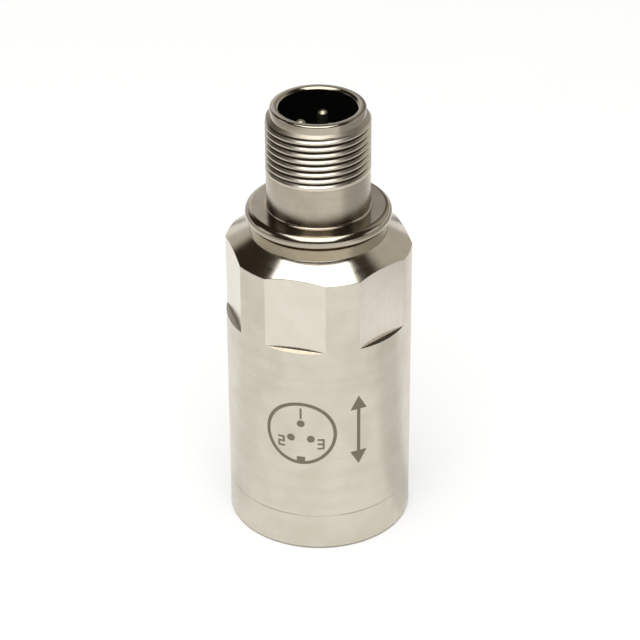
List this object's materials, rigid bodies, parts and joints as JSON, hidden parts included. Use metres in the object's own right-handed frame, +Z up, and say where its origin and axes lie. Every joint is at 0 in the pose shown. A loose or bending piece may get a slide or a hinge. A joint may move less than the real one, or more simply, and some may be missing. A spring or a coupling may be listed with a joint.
{
  "type": "vibration sensor",
  "caption": "Cylindrical stainless steel vibration sensor with wrench flats, a tapped mounting base and a threaded pin connector on top.",
  "frame": {"origin": "centre of the mounting face, which is the lowest face of the base", "axes": "+Z up along the axis of the case to the connector, -Y square to one wrench flat and through the key of the connector"},
  "size_m": [0.0286, 0.0286, 0.0704],
  "materials": {
    "case_steel": "satin turned stainless steel",
    "shell_steel": "fine turned stainless steel",
    "seal_glass": "dark fused sealing glass",
    "contact_plating": "plated contact metal",
    "insulator": "pale insulating ceramic",
    "inner_steel": "machined steel",
    "crystal": "fired piezo ceramic",
    "heavy_metal": "sintered heavy metal",
    "shield_brass": "drawn brass",
    "board": "green circuit board",
    "chip_black": "black moulded resin",
    "capacitor": "amber moulded resin",
    "lead_red": "red lead insulation",
    "lead_black": "black lead insulation",
    "lead_white": "white lead insulation"
  },
  "bodies": {
    "root": {"mounting_base": "case_steel", "housing": "case_steel", "connector_shell": "shell_steel", "glass_seal": "seal_glass", "contact_pin_a": "contact_plating", "contact_pin_b": "contact_plating", "contact_pin_c": "contact_plating", "insulating_disc": "insulator", "sensor_post": "inner_steel", "crystal_left": "crystal", "crystal_right": "crystal", "mass_left": "heavy_metal", "mass_right": "heavy_metal", "insulating_sleeve": "insulator", "insulating_washers": "insulator", "clamp_bolt": "inner_steel", "clamp_nut": "inner_steel", "shield_can": "shield_brass", "lower_standoffs": "shield_brass", "lower_board": "board", "amplifier_chip": "chip_black", "filter_capacitors": "capacitor", "link_block": "chip_black", "link_pins": "contact_plating", "upper_standoffs": "shield_brass", "upper_board": "board", "driver_chip": "chip_black", "power_transistor": "chip_black", "supply_capacitors": "capacitor", "board_screws": "inner_steel", "signal_lead": "lead_red", "ground_lead": "lead_black", "connector_lead_a": "lead_red", "connector_lead_b": "lead_black", "connector_lead_c": "lead_white"}
  },
  "joints": []
}
